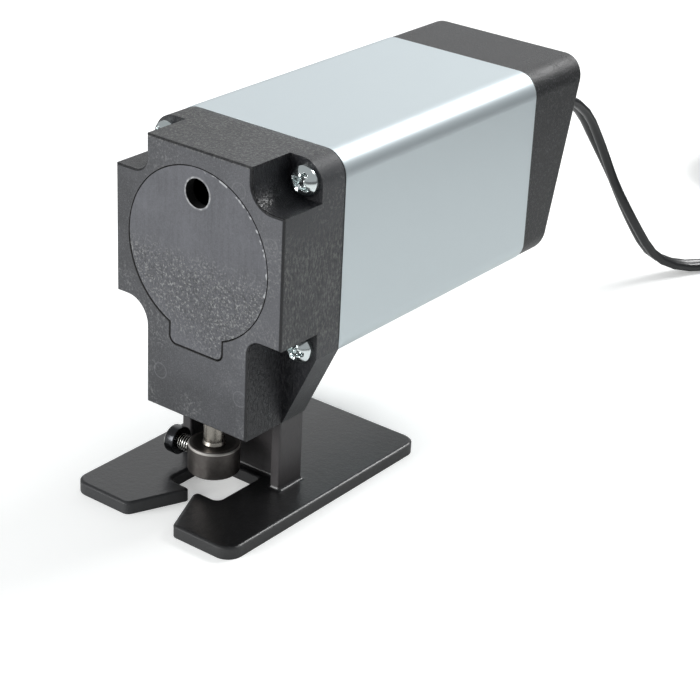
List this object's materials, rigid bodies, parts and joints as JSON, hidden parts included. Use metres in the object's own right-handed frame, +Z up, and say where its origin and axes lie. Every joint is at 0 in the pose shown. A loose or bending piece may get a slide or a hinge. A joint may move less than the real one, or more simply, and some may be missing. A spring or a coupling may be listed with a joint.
{
  "type": "hand-held sabre saw",
  "caption": "Small corded sabre saw: crank-driven plunger with blade clamp under a moulded housing, V-mouth sole, metal sleeve.",
  "frame": {"origin": "on the ground under the middle of the saw's overall length and width, flex and plug left out of the measure", "axes": "+Z up from the sole, -Y towards the blade end, +X to the right seen from the blade end looking back"},
  "size_m": [0.0644, 0.3675, 0.089],
  "materials": {
    "housing_plastic": "moulded glass-filled nylon, fine grain",
    "foot_plastic": "moulded glass-filled nylon, rough on top",
    "cap_plastic": "moulded nylon, fine spark texture",
    "satin_aluminium": "satin anodised",
    "zinc_screw": "bright zinc plate",
    "black_screw": "black oxide",
    "dark_steel": "turned steel, oiled dark",
    "ground_steel": "ground",
    "motor_steel": "zinc-plated sheet",
    "magnet": "ferrite or carbon, dark grey",
    "bronze": "sintered, oily",
    "brass": "bright",
    "copper": "enamelled or bare copper",
    "ceramic": "dipped",
    "felt": "oiled wool or fibre",
    "switch_plastic": "semi-gloss black",
    "flex_pvc": "glossy black PVC",
    "plug_pvc": "moulded black PVC"
  },
  "bodies": {
    "saw": {"front_housing": "housing_plastic", "foot": "foot_plastic", "housing_screws": "zinc_screw", "foot_screws": "zinc_screw", "sleeve": "satin_aluminium", "rear_cap": "cap_plastic", "motor_cradle": "housing_plastic", "motor_can": "motor_steel", "motor_magnets": "magnet", "motor_front_bearing": "bronze", "motor_rear_bearing": "bronze", "motor_end_cap": "cap_plastic", "motor_terminals": "brass", "carbon_brushes": "magnet", "suppressor": "ceramic", "motor_screws": "black_screw", "lower_bush": "bronze", "upper_bush": "bronze", "oil_felt": "felt", "switch_body": "switch_plastic", "strain_relief": "flex_pvc", "cord_flex": "flex_pvc", "cord_tail": "flex_pvc", "cord_coil": "flex_pvc", "mains_plug": "plug_pvc", "plug_blades": "brass"},
    "rotor": {"motor_shaft": "ground_steel", "rotor_core": "motor_steel", "rotor_windings": "copper", "commutator": "copper", "thrust_washers": "felt", "crank_disc": "dark_steel", "crank_screw": "black_screw", "crank_pin": "ground_steel", "crank_roller": "bronze"},
    "plunger": {"plunger": "ground_steel", "yoke": "dark_steel", "yoke_pin": "ground_steel", "blade_collar": "dark_steel"},
    "clamp_screw": {"clamp_screw": "black_screw"},
    "cover": {"front_cover": "housing_plastic"},
    "rocker": {"switch_rocker": "switch_plastic"}
  },
  "joints": [
    {"name": "crank_spin", "type": "hinge", "parent": "saw", "child": "rotor", "pos_m": [0, -0.041, 0.0634], "axis": [0, 1, 0], "continuous": true},
    {"name": "plunger_slide", "type": "slide", "parent": "saw", "child": "plunger", "axis": [0, 0, 1], "range_m": [-0.0015, 0.0065]},
    {"name": "clamp_screw_turn", "type": "hinge", "parent": "plunger", "child": "clamp_screw", "pos_m": [0, -0.046, 0.0096], "axis": [-1, 0, 0], "continuous": true},
    {"name": "cover_pull", "type": "slide", "parent": "saw", "child": "cover", "axis": [0, -1, 0], "range_m": [0, 0.02]},
    {"name": "switch_rock", "type": "hinge", "parent": "saw", "child": "rocker", "pos_m": [0, 0.05759, 0.05441], "axis": [1, 0, 0], "range_deg": [-20, 0]}
  ]
}
